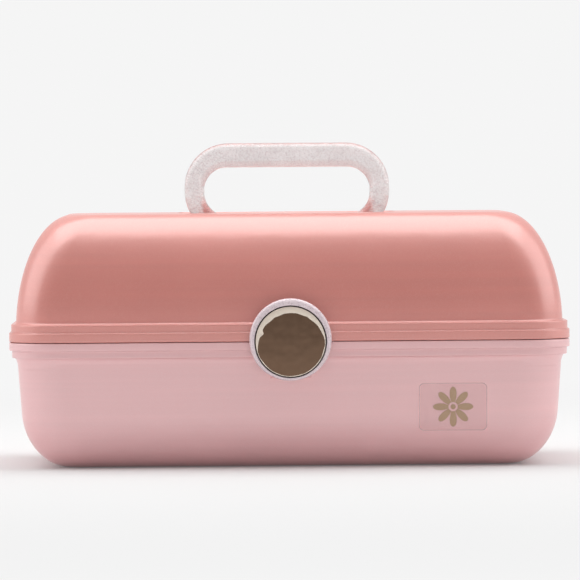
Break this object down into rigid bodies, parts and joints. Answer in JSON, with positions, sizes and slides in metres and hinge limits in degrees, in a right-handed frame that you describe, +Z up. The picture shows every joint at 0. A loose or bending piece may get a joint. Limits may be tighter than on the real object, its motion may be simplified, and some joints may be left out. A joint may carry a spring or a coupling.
{
  "type": "makeup storage case",
  "caption": "Hard-shell makeup case with rounded hinged lid, folding carry handle, round front latch, lid mirror and a divided tray that lifts out as the lid opens.",
  "frame": {"origin": "centre of the flat face that the case stands on", "axes": "+X along the case to the viewer's right, -Y out of the front with the latch, +Z up"},
  "size_m": [0.33, 0.1965, 0.1905],
  "materials": {
    "lid_plastic": "pearl rose-gold moulded plastic, satin gloss",
    "base_plastic": "pearl blush moulded plastic, satin gloss",
    "glitter_plastic": "translucent pinkish plastic filled with fine glitter",
    "inner_plastic": "smooth blush moulded plastic",
    "steel": "plain bright steel",
    "mirror": "flat silvered glass",
    "bronze_mirror": "bronze-tinted mirror finish plastic",
    "clear_film": "clear self-adhesive film"
  },
  "bodies": {
    "base": {"base_shell": "base_plastic", "hinge_pin_left": "steel", "hinge_pin_right": "steel", "latch_pin": "steel", "arm_base_pin_left": "steel", "arm_base_pin_right": "steel", "front_label": "clear_film"},
    "lid": {"lid_shell": "lid_plastic", "handle_bracket": "lid_plastic", "handle_screws": "steel", "mirror_frame": "inner_plastic", "mirror_glass": "mirror", "mirror_screws": "steel", "tray_lid_pin_left": "steel", "tray_lid_pin_right": "steel"},
    "handle": {"handle": "glitter_plastic", "handle_rod": "steel"},
    "latch": {"latch_body": "glitter_plastic", "latch_mirror": "bronze_mirror"},
    "tray": {"tray": "inner_plastic", "divider_left": "inner_plastic", "divider_middle": "inner_plastic", "divider_right": "inner_plastic", "arm_tray_pin_left": "steel", "arm_tray_pin_right": "steel"},
    "arm_left": {"tray_arm_left": "inner_plastic"},
    "arm_right": {"tray_arm_right": "inner_plastic"}
  },
  "joints": [
    {"name": "lid_hinge", "type": "hinge", "parent": "base", "child": "lid", "pos_m": [0, 0.0935, 0.0743], "axis": [-1, 0, 0], "range_deg": [0, 100]},
    {"name": "tray_pivot", "type": "hinge", "parent": "lid", "child": "tray", "pos_m": [0, 0.0335, 0.0828], "axis": [-1, 0, 0], "range_deg": [-100, 0]},
    {"name": "arm_left_pivot", "type": "hinge", "parent": "base", "child": "arm_left", "pos_m": [0, 0.0135, 0.0568], "axis": [-1, 0, 0], "range_deg": [0, 100]},
    {"name": "arm_right_pivot", "type": "hinge", "parent": "base", "child": "arm_right", "pos_m": [0, 0.0135, 0.0568], "axis": [-1, 0, 0], "range_deg": [0, 100]},
    {"name": "handle_pivot", "type": "hinge", "parent": "lid", "child": "handle", "pos_m": [0, 0, 0.1413], "axis": [-1, 0, 0], "range_deg": [0, 90]},
    {"name": "latch_pivot", "type": "hinge", "parent": "base", "child": "latch", "pos_m": [0, -0.091, 0.0558], "axis": [1, 0, 0], "range_deg": [0, 100]}
  ],
  "couplings": [
    {"joint": "tray_pivot", "follows": "lid_hinge", "ratio": -1},
    {"joint": "arm_left_pivot", "follows": "lid_hinge", "ratio": 1},
    {"joint": "arm_right_pivot", "follows": "lid_hinge", "ratio": 1}
  ]
}
